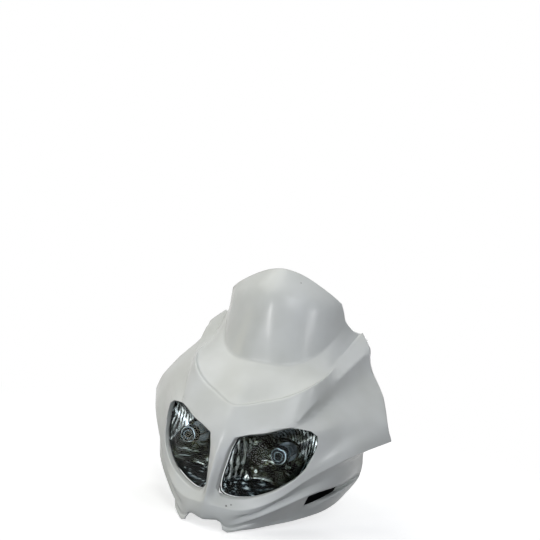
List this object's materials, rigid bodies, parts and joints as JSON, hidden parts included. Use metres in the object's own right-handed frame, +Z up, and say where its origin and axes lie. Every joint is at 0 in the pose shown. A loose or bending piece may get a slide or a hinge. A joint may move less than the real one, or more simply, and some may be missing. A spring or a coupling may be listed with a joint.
{
  "type": "headlight cowl",
  "caption": "White moulded motorbike headlight cowl with a humped screen, paired angular lamps behind clear lenses, side vents and rear mounting ears.",
  "frame": {"origin": "midway between the two ear bores, on their common axis", "axes": "+X to the side that shows most in the picture, -Y towards the front of the cowl, +Z up, along the screen"},
  "size_m": [0.43, 0.2941, 0.3874],
  "materials": {
    "shell": "satin white moulding",
    "bead": "black sealant",
    "lens": "clear",
    "reflector": "silvered facets",
    "housing": "black",
    "bulb": "clear",
    "shield": "bright",
    "rubber": "matt",
    "steel": "zinc plated"
  },
  "bodies": {
    "root": {"cowl": "shell", "seal_right": "bead", "seal_left": "bead", "lens_right": "lens", "lens_left": "lens", "reflector_right": "reflector", "reflector_left": "reflector", "housing_right": "housing", "housing_left": "housing", "bulb_right": "bulb", "bulb_left": "bulb", "bulb_shield_right": "shield", "bulb_shield_left": "shield", "boot_right": "rubber", "boot_left": "rubber", "ear_grommet_right": "rubber", "ear_grommet_left": "rubber", "ear_sleeve_right": "steel", "ear_sleeve_left": "steel"}
  },
  "joints": []
}
